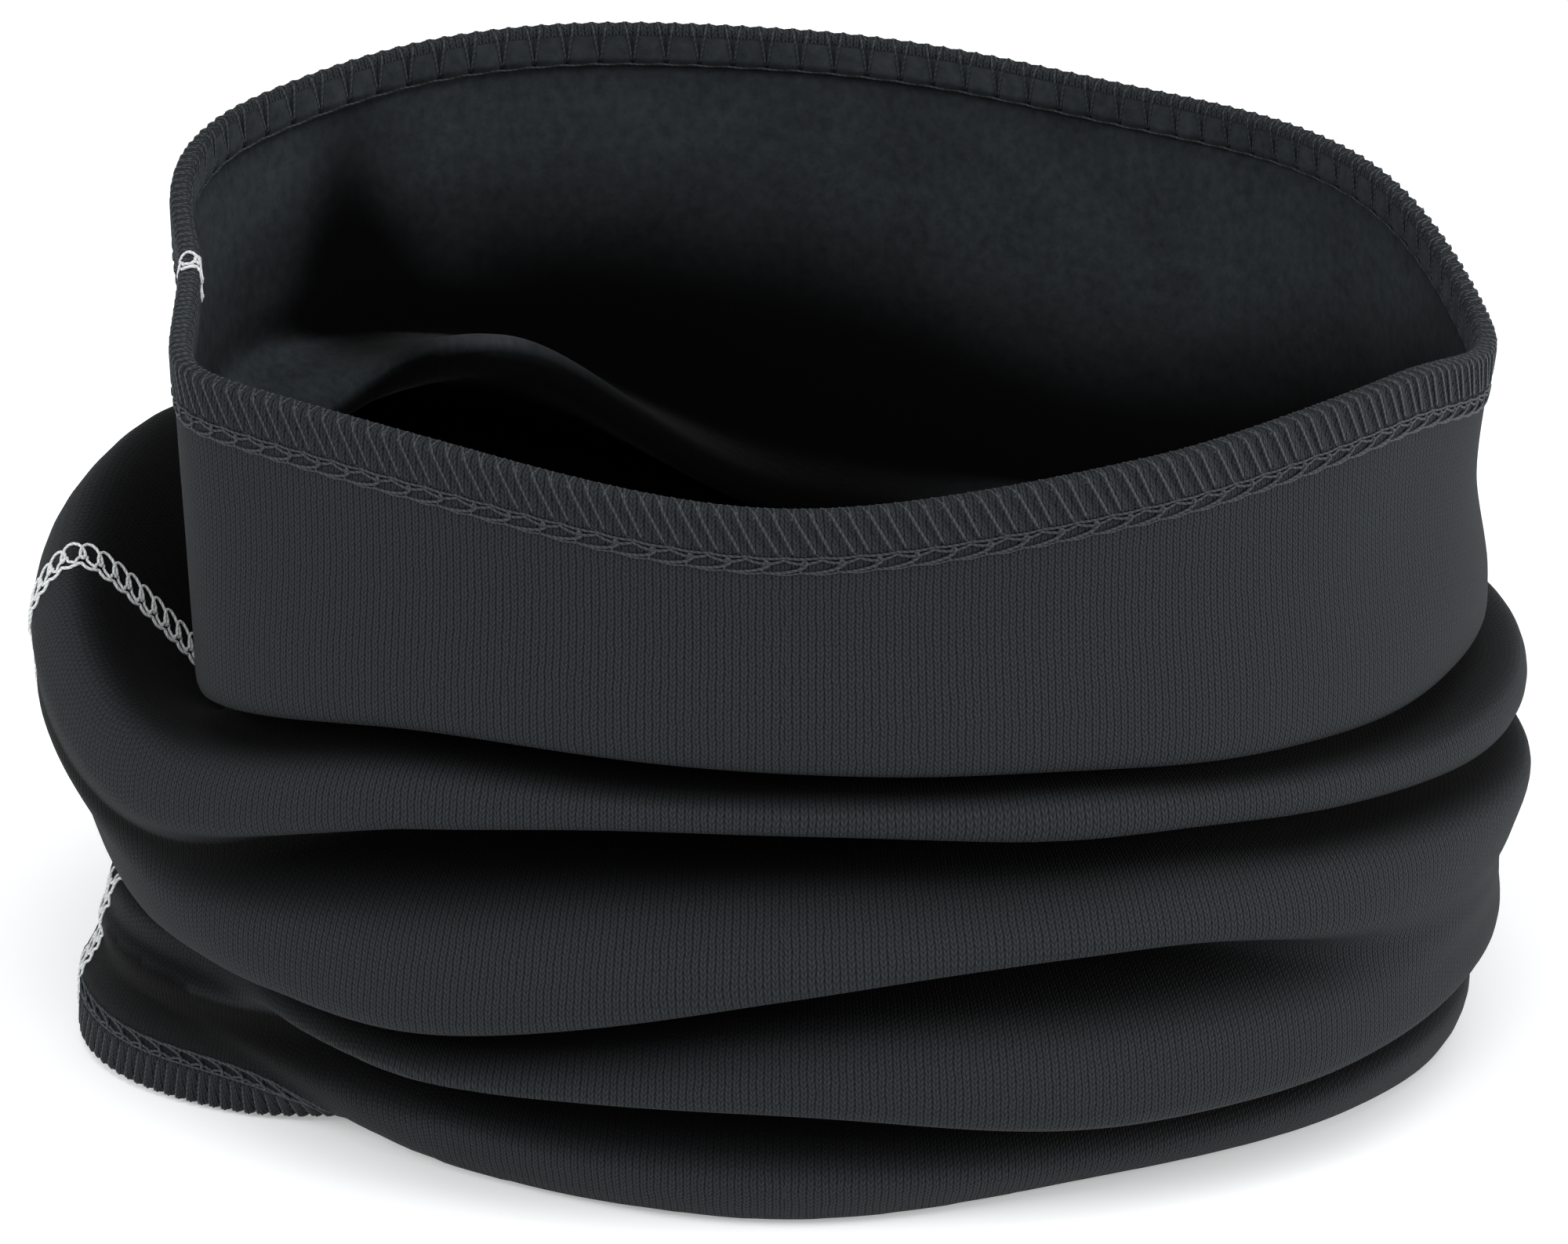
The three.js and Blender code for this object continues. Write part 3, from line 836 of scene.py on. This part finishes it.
@dataclass
class KnitPanel:
    """The single layer of cloth between the two hems, with all its folds.

    Args:
        cloth: the cloth's middle surface.
        columns: columns round the tube.
        rows: rows from hem to hem.
        dark_below: the height under which the inside is painted black, as shade where no light reaches, in mm,
            every 30 degrees.
        fade: the height over which that painted shade fades in, in mm.
        crest: how much higher a face that looks straight up counts, in mm, so that it is painted lighter.
        contrast: how steeply the outer face's painted shade lightens with its openness.
        black_point: how much of that brightness is taken off, so that narrow folds are painted black.
        curve: the power that the brightness is then raised to, which deepens the painted half-dark.
        back_crease_shade: painted shade for an upright crease of the inside that the shape lacks: its place and
            half width, in degrees, and how much lower it counts, in mm.
        root_shadows: painted shadow that runs down the outer face out of the first root's lower line and the
            second and fourth roots' upper lines: the line's number, and the way it runs, in mm, every 30 degrees.
    """

    cloth: Cloth
    columns: int = 300
    rows: int = 160
    dark_below: Keys = (90, 90, 94, 102, 88, 77, 92, 99, 88, 80, 80, 85)
    fade: float = 30.0
    crest: float = 24.0
    contrast: float = 1.45
    black_point: float = 0.36
    curve: float = 1.4
    back_crease_shade: tuple[float, float, float] = (221.0, 6.0, 20.0)
    root_shadows: tuple[tuple[int, Keys], ...] = (
        (5, (5, 5, 4, 3, 3, 4, 6, 16, 38, 38, 18, 8)),
        (8, (28, 22, 10, 2, 2, 4, 4, 4, 2, 2, 12, 26)),
        (16, (8, 8, 3, 2, 2, 2, 2, 3, 4, 22, 28, 18)),
    )

    def _outer_sky(self, turns: Grid, lengths: Grid) -> Grid:
        """How open the outer face is, as painted shade: the outline's openness, and a smooth step out of each deep
        root.

        Args:
            turns: the columns, in degrees.
            lengths: rows by columns, in mm down the cloth.

        Returns:
            Rows by columns, from 0 to 1.
        """
        sky = np.clip(self.contrast * self.cloth.openness(turns, lengths) - self.black_point, 0, 1) ** self.curve
        # Painted shadow under each deep root: black at the root, fading out down the cloth over its reach.
        for line, reach in self.root_shadows:
            start = self.cloth.lengths[line * self.cloth.steps][self.cloth.near(turns)]
            way = (lengths - start) / np.maximum(self.cloth.around(reach, turns), 1.0)
            sky = sky * np.where(lengths > start, smooth_step(way), 1)
        return sky

    def _inner_sky(self, turns: Grid, lengths: Grid) -> Grid:
        """How open the inner face is, as painted shade: a smooth step up its height.

        A face that looks up counts as higher, so that it is painted lighter, and the painted crease shade as lower by
        the bell curve of its width.

        Args:
            turns: the columns, in degrees.
            lengths: rows by columns, in mm down the cloth.

        Returns:
            Rows by columns, from 0 to 1.
        """
        height = self.cloth.lay(turns[None], lengths, -self.cloth.thickness / 2)[..., 2]
        looks_up = np.clip(-self.cloth.frame(turns[None] + 0 * lengths, lengths)[1][..., 2], 0, 1)
        place, width, drop = self.back_crease_shade
        # Painted shade: a dark upright band on the inside's back wall, for a crease that the shape lacks.
        crease = drop * np.exp(-(((turns - place) / width) ** 2))
        # Painted light: faces that look up are painted lighter.
        level = self.crest * looks_up + height
        return smooth_step((level - self.cloth.around(self.dark_below, turns) - crease) / self.fade)

    def build(self) -> bpy.types.Object:
        """The cloth's two faces, half its thickness each side of the middle surface, joined at the hems.

        Returns:
            The panel, with the jersey's face outside and its brushed back inside.
        """
        turns = np.arange(self.columns) * FULL_TURN / self.columns
        lengths = self.cloth.row_lengths(turns, self.rows)
        # Painted shade of both faces, stored as the attribute "open" that darkens their colour.
        sky = np.concatenate([self._outer_sky(turns, lengths), self._inner_sky(turns, lengths)[::-1]])
        half = self.cloth.thickness / 2
        outer = self.cloth.lay(turns[None], lengths, half)
        inner = self.cloth.lay(turns[None], lengths, -half)[::-1]
        rings = np.concatenate([outer, inner]).transpose(1, 0, 2)
        u = np.linspace(0, 1, self.columns + 1) * self.cloth.flat_width
        lengths = np.hstack([lengths, lengths[:, :1]]).T
        v = np.hstack([lengths, lengths[:, ::-1], lengths[:, :1]])
        uv = np.stack(np.broadcast_arrays(u[:, None], v), axis=-1)
        slots = np.repeat([0, 1], self.rows)
        panel = sweep("brushed_jersey_tube", rings, uv, slots=slots)
        shade(panel, sky.T.ravel())
        for finish in (FACE, BACK):
            panel.data.materials.append(MATERIALS[finish.name])
        return panel


class End(Enum):
    """The two ends of the tube, and the way a length is counted from each finished edge."""

    TOP = "top"
    BOTTOM = "bottom"


@dataclass
class TurnedHem:
    """One end of the cloth, turned to the inside once and held by its stitches.

    A place on the hem is given by its stitch and by q, the way over the cloth in mm: 0 near the finished
    edge, growing down the outer face, and below 0 over the rounded edge and down the inner face.

    Args:
        cloth: the cloth's middle surface.
        end: which end of the tube.
        stitches: stitches round the hem.
        slant: how far a cover stitch leans, in stitches.
        puff: how far the cloth stands up between two threads, in mm.
        chain: width of the chain row below the hem, in mm.
        inner_gap: the clearance between the two layers, in mm.
        bend_from: where the straight outer face ends and the rounded edge starts, in mm from the edge.
        foot_gap: how far the hem's foot stops short of the panel, in mm.
        per_stitch: columns to a stitch.
    """

    cloth: Cloth
    end: End
    stitches: int = 122
    slant: float = 0.7
    puff: float = 0.55
    chain: float = 2.4
    inner_gap: float = 0.35
    bend_from: float = 1.0
    foot_gap: float = 0.02
    per_stitch: int = 12

    @property
    def height(self) -> float:
        """The hem's height, in mm."""
        return self.cloth.hem

    @property
    def inside(self) -> float:
        """Where the turned-in layer's inner face lies, in mm from the middle surface."""
        return -(self.cloth.thickness * 1.5 + self.inner_gap)

    @property
    def radius(self) -> float:
        """The rounded edge's radius: half of the two layers with the gap between them, in mm."""
        return (self.cloth.thickness / 2 - self.inside) / 2

    @property
    def over(self) -> float:
        """The value of q where the inner face starts: the half circle's length past the outer face's end."""
        return self.bend_from - math.pi * self.radius

    def turn_of(self, stitch: Grid) -> Grid:
        """A place counted in stitches, as degrees round the tube."""
        return np.asarray(stitch) * FULL_TURN / self.stitches

    def length_of(self, turn: Grid, s: Grid) -> Grid:
        """The length down the cloth of a place that lies s from the finished edge, in mm."""
        return s + 0 * turn if self.end is End.TOP else self.cloth.total(turn) - s

    def outer_puff(self, stitch: Grid, q: Grid) -> Grid:
        """How far the outer face puffs between its two threads a stitch: a sine's root, faded out at the foot."""
        lean = 2 * (stitch - self.slant * np.clip(q / self.height, -0.3, 1.2))
        fade = np.clip((self.height + 0.2 - q) / 1.0, 0, 1)
        return self.puff * (np.sqrt(np.abs(np.sin(np.pi * lean))) - 0.55) * fade

    def inner_puff(self, stitch: Grid, s: Grid) -> Grid:
        """How far the inner face puffs: a crease runs up from the point of each pair of threads."""
        crease = np.abs(np.cos(np.pi * stitch)) ** 0.45
        fade = np.clip((s - 0.5) / 2.5, 0, 1) * np.clip((self.height + 0.3 - s) / 0.8, 0, 1)
        return self.puff * 1.3 * (crease - 0.75) * fade

    def skin(self, stitch: Grid, q: Grid, lift: Grid = 0.0) -> tuple[Grid, Grid]:
        """A place on the hem's skin.

        The outer face runs straight to the edge, a half circle leads round it, and the inner face runs back,
        pressed down to the panel at its foot by a smooth step.

        Args:
            stitch: stitches round the hem.
            q: the way over the cloth, in mm.
            lift: how far off the skin, in mm.

        Returns:
            The distance from the finished edge and the stand-off from the middle surface, in mm.
        """
        stitch, q, lift = np.broadcast_arrays(*(np.asarray(v, float) for v in (stitch, q, lift)))
        start = self.bend_from
        bend = np.clip((start - q) / self.radius, 0, np.pi)
        centre = (self.cloth.thickness / 2 + self.inside) / 2
        s_in = start + np.maximum(self.over - q, 0)
        s = np.where(q >= start, q, np.where(q > self.over, start, s_in)) - (self.radius + lift) * np.sin(bend)
        sink, slope = 0.75, 1.6  # mm: how far the foot is pressed down, and over what length
        press = sink * smooth_step((s_in - self.height + slope) / slope)
        puff = self.outer_puff(stitch, q) * np.clip(np.cos(bend) + 0.5, 0, 1)
        inner = np.where(q <= self.over, press - self.inner_puff(stitch, s_in), 0)
        return s, centre + (self.radius + lift) * np.cos(bend) + puff + inner

    def fold(self) -> bpy.types.Object:
        """The turned cloth: a U of two layers, down the skin from foot to foot and back between the layers.

        Returns:
            The hem.
        """
        stitch = np.arange(self.stitches * self.per_stitch) / self.per_stitch
        turn = self.turn_of(stitch)
        start, end = self.bend_from, self.height - self.foot_gap
        foot = self.over - (end - start)
        straight, bent = np.linspace(end, start, 14), np.linspace(start, self.over, 9)[1:-1]
        skin = np.concatenate([straight, bent, np.linspace(self.over, foot, 16)])
        rings = [self.skin(stitch, q) for q in skin]
        short = np.array([start + 0.1, self.height * 0.5, end])
        sunk = np.array([0.0, 0.1, 0.62])  # the turned-in layer nears the panel at its foot
        second = sunk + self.inside + self.cloth.thickness
        back = list(zip(short[::-1], second[::-1], strict=True)) + [(s, -self.cloth.thickness / 2) for s in short]
        rings += [(np.full_like(stitch, s), np.full_like(stitch, away)) for s, away in back]
        points = np.stack([self.cloth.lay(turn, self.length_of(turn, s), away) for s, away in rings], axis=1)
        slots = np.array([1 if q < self.over else 0 for q in skin] + [1] * (2 * len(short)))
        u = np.linspace(0, 1, len(stitch) + 1) * self.cloth.flat_width
        v = np.concatenate([skin, np.full_like(short, foot), np.full_like(short, self.height), skin[:1]])
        if self.end is End.BOTTOM:
            v = float(self.cloth.lengths[-1].mean()) - v
        uv = np.stack(np.broadcast_arrays(u[:, None], v[None]), axis=-1)
        hem = sweep(f"{self.end.value}_turned_hem", points, uv, slots=slots)
        hem.data.set_sharp_from_angle(angle=math.radians(80))
        # No painted shade on the hems: their openness is 1 everywhere.
        shade(hem, 1.0)
        for finish in (FACE, BACK):
            hem.data.materials.append(MATERIALS[finish.name])
        return hem

    def thread(self, name: str, runs: list[tuple[Grid, Grid, Grid]], thread: Thread) -> bpy.types.Object:
        """One thread, or several that make up one row of stitches, laid on the hem.

        Args:
            name: what the thread is.
            runs: for each closed run its places in stitches, its distances from the edge and its stand-offs.
            thread: its cross-section.

        Returns:
            The piece.
        """
        name = f"{self.end.value}_hem_{name}"
        parts = []
        for stitch, s, away in runs:
            turn = self.turn_of(stitch)
            path = self.cloth.lay(turn, self.length_of(turn, s), away)
            up = self.cloth.frame(turn, self.length_of(turn, s))[1]
            parts.append(sweep(name, thread.rings(path, up, True), thread.marks(path)))
        piece = join(name, parts)
        piece.data.materials.append(MATERIALS[HEM_THREAD.name])
        return piece

    def _beats(self, per: int) -> tuple[Grid, Grid]:
        """Even steps round the hem: the stitch each falls in, and how far through it, from 0 to 1."""
        step = np.arange(self.stitches * per)
        return step // per, (step % per) / per

    def _stroke(self, start: float, lean: float, top: float, foot: float, lift: float) -> tuple[Grid, Grid, Grid]:
        """A thread that lies on the skin from `top` to `foot` and goes back inside the cloth, once a stitch.

        It shows for seven tenths of each stitch, and for the rest it runs back hidden between the layers.

        Args:
            start: where it starts, in stitches.
            lean: how far it leans, in stitches.
            top: its start, as q.
            foot: its end, as q.
            lift: how far off the skin, in mm.

        Returns:
            Places in stitches, distances from the edge and stand-offs.
        """
        k, f = self._beats(20)
        share = 0.7
        shown, hidden = np.clip(f / share, 0, 1), np.clip((f - share) / (1 - share), 0, 1)
        place = k + start + lean * shown + (1 - lean) * hidden
        q = top + (foot - top) * np.where(f < share, shown, 1 - hidden)
        s, away = self.skin(place, q, lift)
        within = np.sqrt(np.sin(np.pi * hidden))
        middle = (self.cloth.thickness / 2 + self.inside) / 2
        return place, np.maximum(s, 0.6 * within), away * (1 - within) + middle * within

    def cover_stitches(self) -> bpy.types.Object:
        """Two slanted threads to a stitch: each comes over the edge, lies in a crease to the foot and dives."""
        foot = self.height - 0.35
        return self.thread(
            "cover_stitches",
            [
                self._stroke(0.0, self.slant * 1.25, self.over + 1.0, foot, 0.05),
                self._stroke(0.5, self.slant * 1.1, self.over + 1.0, foot, 0.02),
            ],
            Thread(0.42, 0.36),
        )

    def needle_line(self) -> bpy.types.Object:
        """The straight row at the hem's foot: it rises between the knots and sinks at each one."""
        k, f = self._beats(10)
        place = k + f
        s = self.height - 0.05 + 0.15 * np.sin(np.pi * f)
        away = self.cloth.thickness / 2 + 0.02 + 0.16 * np.sin(np.pi * f)
        return self.thread("needle_line", [(place, s, away)], Thread(0.42, 0.36))

    def chain_row(self) -> bpy.types.Object:
        """The chain below the hem: a scalloped rail, a straight rail, and a loop that ties them at each knot.

        The loop's place is the stitch plus a sine of its beat, and its depth a cosine, so it curls back on
        itself once in each stitch.
        """
        k, f = self._beats(24)
        turn = 2 * np.pi * f
        foot, half = self.height, self.chain / 2
        top = foot + 0.25 + 0.6 * np.sin(np.pi * f) ** 0.8
        rail = foot + self.chain + 0.1 * np.cos(turn)
        curl = k + f + 0.34 * np.sin(turn) + 0.08 * np.sin(2 * turn)
        depth = foot + 0.15 + half + (half - 0.2) * np.cos(turn + 0.6)
        face = self.cloth.thickness / 2
        return self.thread(
            "chain_row",
            [
                (k + f, top, face + 0.06 + 0.12 * np.sin(np.pi * f)),
                (k + f, rail, face + 0.04 + 0.06 * np.cos(turn)),
                (curl, depth, face + 0.16 + 0.16 * np.sin(turn)),
            ],
            Thread(0.46, 0.42),
        )

    def inner_stitches(self) -> bpy.types.Object:
        """The looper's threads inside: pairs that meet in a point at the foot, and a fine line that ties them."""
        foot = self.over - (self.height - 1.7)
        k, f = self._beats(20)
        line = self.height - 0.35 + 0.08 * np.sin(2 * np.pi * f)
        away = self.inside + 0.60 - 0.10 * np.sin(np.pi * f)
        return self.thread(
            "inner_stitches",
            [
                self._stroke(0.22, 0.26, 0.6, foot, 0.04),
                self._stroke(0.78, -0.26, 0.6, foot, 0.02),
                (k + f, line, away),
            ],
            Thread(0.34, 0.30),
        )


@dataclass
class FlatSeam:
    """The flat seam that closes the tube: a ladder of pale threads down the left side, from over the rim.

    Args:
        cloth: the cloth's middle surface.
        hem: the top hem, whose rounded edge the seam runs over.
        turn: where it runs, in degrees round the tube.
        width: its width, in mm.
        pitch: the length of a stitch, in mm.
        margin: how far it stays from the bottom edge, in mm.
        over: how much of it lies over the rim and down the inside, in mm.
    """

    cloth: Cloth
    hem: TurnedHem
    turn: float = 270.0
    width: float = 5.0
    pitch: float = 2.7
    margin: float = 1.0
    over: float = 7.5

    def _run(self, per: int) -> tuple[Grid, Grid]:
        """Even steps down the seam: the length down the cloth, and the angle through each stitch."""
        total = float(self.cloth.total(np.array([self.turn]))[0])
        stitches = int((total - self.margin + self.over) / self.pitch)
        step = np.arange(stitches * per + 1) / per
        return step * self.pitch - self.over, 2 * np.pi * step

    def thread(self, name: str, side: Grid, length: Grid, lift: Grid, thread: Thread) -> bpy.types.Object:
        """A thread laid down the seam.

        Args:
            name: what it is.
            side: mm to the side of the seam's line.
            length: mm down the cloth, or less than 0 over the rim and down the inside.
            lift: mm off the cloth's face.
            thread: its cross-section.

        Returns:
            The piece.
        """
        s, away = self.hem.skin(0.0, length, lift)
        on_hem = length < self.hem.bend_from
        s, away = np.where(on_hem, s, length), np.where(on_hem, away, self.cloth.thickness / 2 + lift)
        here = self.cloth.frame(np.full_like(length, self.turn - 1), s)[0]
        there = self.cloth.frame(np.full_like(length, self.turn + 1), s)[0]
        per_degree = np.linalg.norm(there - here, axis=1) / 2
        turn = self.turn + side / np.maximum(per_degree, 0.4)
        path = self.cloth.lay(turn, s, away)
        path = path + self.cloth.past_edge(turn, s)
        up = self.cloth.frame(turn, s)[1]
        piece = sweep(name, thread.rings(path, up, False), thread.marks(path), closed=False)
        piece.data.materials.append(MATERIALS[SEAM_THREAD.name])
        return piece

    def upper_looper(self) -> bpy.types.Object:
        """The scalloped rail on the front side: it bows out by the size of a sine between the stitches."""
        length, turn = self._run(12)
        side = self.width / 2 - 0.55 + 0.55 * np.abs(np.sin(turn / 2))
        return self.thread("seam_upper_looper", side, length, 0.14 + 0.06 * np.cos(turn), Thread(0.6, 0.5))

    def lower_looper(self) -> bpy.types.Object:
        """The arches on the back side: a cosine to the side and a sine ahead, so each crosses itself at its foot."""
        length, turn = self._run(18)
        side = 1.75 * np.cos(turn) - self.width / 2 + 1.75
        ahead = length - 0.34 * self.pitch * np.sin(turn)
        return self.thread("seam_lower_looper", side, ahead, 0.20 + 0.12 * np.cos(turn), Thread(0.55, 0.48))

    def needle(self) -> bpy.types.Object:
        """The needle's thread: it runs from the rail to the foot of each arch and back, as a row of Y's."""
        length, turn = self._run(14)
        side = self.width / 2 - 1.35 - 0.85 * np.cos(turn + 0.9)
        ahead = length + 0.10 * self.pitch * np.sin(2 * turn)
        return self.thread("seam_needle", side, ahead, 0.28 + 0.14 * np.sin(turn), Thread(0.5, 0.44))


# ---------------------------------------------------------------------------------------------------------
# The studio
# ---------------------------------------------------------------------------------------------------------


@dataclass(frozen=True)
class SoftLight:
    """A softbox that faces a point of the gaiter.

    Args:
        name: what it does.
        place: where it stands, in metres.
        size: its sides, in metres.
        power: in watts.
    """

    name: str
    place: tuple[float, float, float]
    size: tuple[float, float]
    power: float

    def build(self) -> None:
        """Puts the light in the scene, turned to the middle of the gaiter."""
        data = bpy.data.lights.new(self.name, "AREA")
        data.shape = "RECTANGLE"
        data.size, data.size_y = self.size
        data.energy = self.power
        light = bpy.data.objects.new(self.name, data)
        light.location = self.place
        aim = Vector((0, 0, 0.06)) - Vector(self.place)
        light.rotation_euler = aim.to_track_quat("-Z", "Y").to_euler()
        bpy.context.scene.collection.objects.link(light)


@dataclass(frozen=True)
class Studio:
    """A pale floor, soft lights, a pale room and the camera.

    Args:
        elevation: the camera's height over the horizon, in degrees.
        distance: from the camera to its aim, in metres.
        aim_height: the height of its aim, in metres.
        lens: focal length on a 36 mm wide sensor, in mm.
        floor: the floor's side, in metres.
        glow: how strongly the floor glows, so that the ground reads as white.
        room: the strength of the light from the pale room all round.
        lights: the softboxes.
    """

    elevation: float = 26.0
    distance: float = 0.9
    aim_height: float = 0.070
    lens: float = 137.286
    floor: float = 6.0
    glow: float = 0.3
    room: float = 0.35
    lights: tuple[SoftLight, ...] = (
        SoftLight("overhead_softbox", (0.1, -0.45, 1.3), (1.0, 0.8), 11.0),
        SoftLight("right_softbox", (1.3, -0.1, 0.3), (0.8, 0.5), 14.0),
        SoftLight("left_softbox", (-1.0, -0.55, 0.8), (0.6, 0.6), 8.0),
    )

    def build(self, shift: tuple[float, float]) -> None:
        """Sets the floor, the lights, the surroundings and the camera.

        Args:
            shift: the gaiter's plan centre, in metres.
        """
        self._floor()
        for light in self.lights:
            light.build()
        world = bpy.data.worlds.new("pale_room")
        world.use_nodes = True
        sky = world.node_tree.nodes["Background"]
        sky.inputs["Color"].default_value = linear("#f4f6f8")
        sky.inputs["Strength"].default_value = self.room
        bpy.context.scene.world = world
        bpy.context.scene.view_settings.view_transform = "Standard"
        self._camera(shift)

    def _floor(self) -> None:
        """A flat pale sheet of paper under the gaiter."""
        half = self.floor / 2
        mesh = bpy.data.meshes.new("pale_floor")
        mesh.from_pydata([(-half, -half, 0), (half, -half, 0), (half, half, 0), (-half, half, 0)], [], [(0, 1, 2, 3)])
        floor = bpy.data.objects.new("pale_floor", mesh)
        bpy.context.scene.collection.objects.link(floor)
        material = bpy.data.materials.new("pale_paper")
        material.use_nodes = True
        shader = material.node_tree.nodes["Principled BSDF"]
        shader.inputs["Base Color"].default_value = linear("#f2f3f4")
        shader.inputs["Roughness"].default_value = 0.9
        shader.inputs["Emission Color"].default_value = linear("#ffffff")
        shader.inputs["Emission Strength"].default_value = self.glow
        mesh.materials.append(material)

    def _camera(self, shift: tuple[float, float]) -> None:
        """The camera stands in front and above, and looks at the middle of the gaiter."""
        rise = math.radians(self.elevation)
        aim = Vector((shift[0], shift[1], self.aim_height))
        data = bpy.data.cameras.new("studio_camera")
        data.lens, data.sensor_width, data.sensor_fit = self.lens, 36.0, "HORIZONTAL"
        data.clip_start, data.clip_end = 0.05, 20.0
        camera = bpy.data.objects.new("studio_camera", data)
        camera.location = aim + Vector((0, -math.cos(rise), math.sin(rise))) * self.distance
        camera.rotation_euler = (aim - camera.location).to_track_quat("-Z", "Y").to_euler()
        bpy.context.scene.collection.objects.link(camera)
        bpy.context.scene.camera = camera


# ---------------------------------------------------------------------------------------------------------
# The gaiter
# ---------------------------------------------------------------------------------------------------------

MATERIALS: dict[str, bpy.types.Material] = {}


@dataclass
class NeckGaiter:
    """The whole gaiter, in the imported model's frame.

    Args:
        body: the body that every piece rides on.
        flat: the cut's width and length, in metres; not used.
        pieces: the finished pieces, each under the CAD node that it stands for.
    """

    body: str = "root"
    flat: tuple[float, float] = (0.51, 0.25)
    pieces: dict[str, bpy.types.Object] = field(default_factory=dict)

    def keep(self, piece: bpy.types.Object, node: str) -> None:
        """Gives a piece its body, hides the CAD node that it stands for, keeps it under that node and reports it.

        Args:
            piece: the finished object.
            node: the CAD node it stands for.
        """
        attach(piece, self.body)
        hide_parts(node)
        self.pieces[node] = piece
        LOG.info("%s stands for %s, with %d faces", piece.name, node, len(piece.data.polygons))

    def build(self, cloth: Cloth) -> None:
        """Builds the panel, the hems and the seam, and reports each piece.

        Args:
            cloth: the cloth's middle surface.
        """
        self.keep(KnitPanel(cloth).build(), "knit_panel")
        hems = (TurnedHem(cloth, End.TOP), TurnedHem(cloth, End.BOTTOM, slant=0.35, puff=0.8))
        for hem in hems:
            name = hem.end.value
            self.keep(hem.fold(), f"{name}_hem")
            self.keep(hem.cover_stitches(), f"{name}_hem_upper_looper_thread")
            self.keep(hem.needle_line(), f"{name}_hem_needle_thread")
            self.keep(hem.chain_row(), f"{name}_hem_chain_thread")
            self.keep(hem.inner_stitches(), f"{name}_hem_lower_looper_thread")
        seam = FlatSeam(cloth, TurnedHem(cloth, End.TOP, puff=0.0))
        self.keep(seam.needle(), "seam_needle_thread")
        self.keep(seam.upper_looper(), "seam_upper_looper_thread")
        self.keep(seam.lower_looper(), "seam_lower_looper_thread")


def plan_shift() -> tuple[float, float]:
    """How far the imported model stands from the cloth's own frame, in mm.

    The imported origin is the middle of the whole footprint, while the cloth's is the middle of its ellipse,
    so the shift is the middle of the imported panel's box less the middle of the unshifted cloth's.

    Returns:
        The shift along x and y.
    """
    cloth = Cloth(ripples=(), columns=360)
    face = cloth.points + cloth.normals * cloth.thickness / 2
    low, high = (np.array(corner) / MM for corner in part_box("knit_panel"))
    middle = (face.reshape(-1, 3).min(axis=0) + face.reshape(-1, 3).max(axis=0)) / 2
    shift = (low + high) / 2 - middle
    return float(shift[0]), float(shift[1])


def main() -> None:
    """Builds the cloth, its pieces and the studio."""
    logging.basicConfig(level=logging.INFO, format="%(name)s: %(message)s")
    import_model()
    for finish in (FACE, BACK, HEM_THREAD, SEAM_THREAD):
        MATERIALS[finish.name] = finish.build()
    shift = plan_shift()
    LOG.info("the packed model stands %.2f, %.2f mm from the cloth's own frame", *shift)
    Studio().build((shift[0] * MM, shift[1] * MM))
    NeckGaiter().build(Cloth(shift=shift))


if __name__ == "__main__":
    main()
